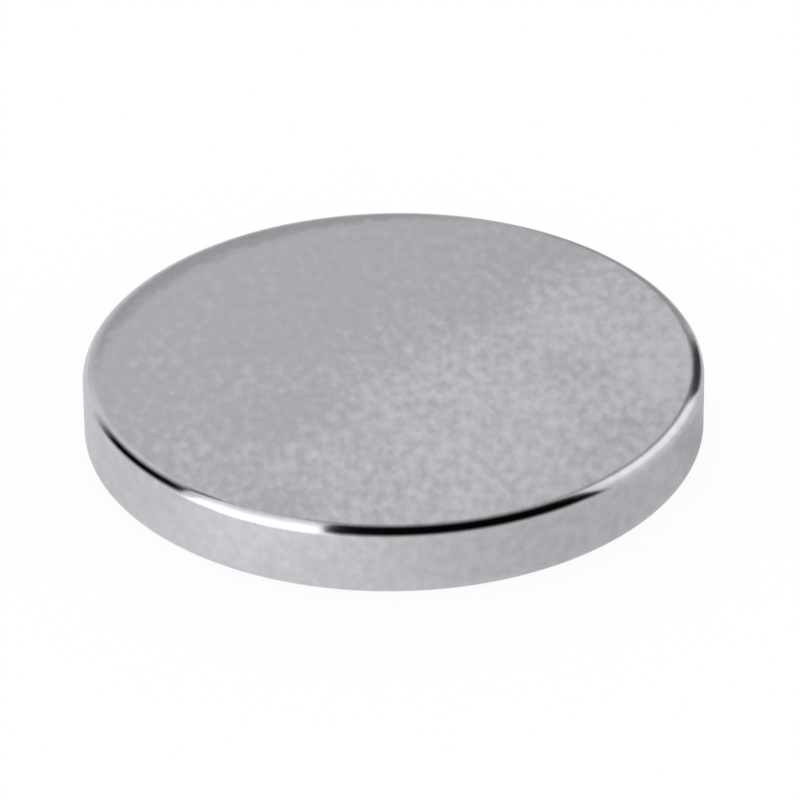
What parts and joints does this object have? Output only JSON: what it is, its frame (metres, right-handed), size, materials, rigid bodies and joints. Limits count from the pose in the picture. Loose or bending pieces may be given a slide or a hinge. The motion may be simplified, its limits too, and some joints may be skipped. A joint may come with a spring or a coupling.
{
  "type": "disc magnet",
  "caption": "Plain flat disc magnet with rounded edges and a bright plated surface; clings to steel by either pole face or sits glued in a round pocket.",
  "frame": {"origin": "centre of the lower pole face, on the disc's axis", "axes": "+Z along the disc's axis, which is also its magnetic axis, from the lower pole face to the upper one; X and Y lie in the lower pole face, and turning about Z changes nothing"},
  "size_m": [0.025, 0.025, 0.003],
  "materials": {
    "nickel_plating": "satin"
  },
  "bodies": {
    "root": {"disc_magnet": "nickel_plating"}
  },
  "joints": []
}
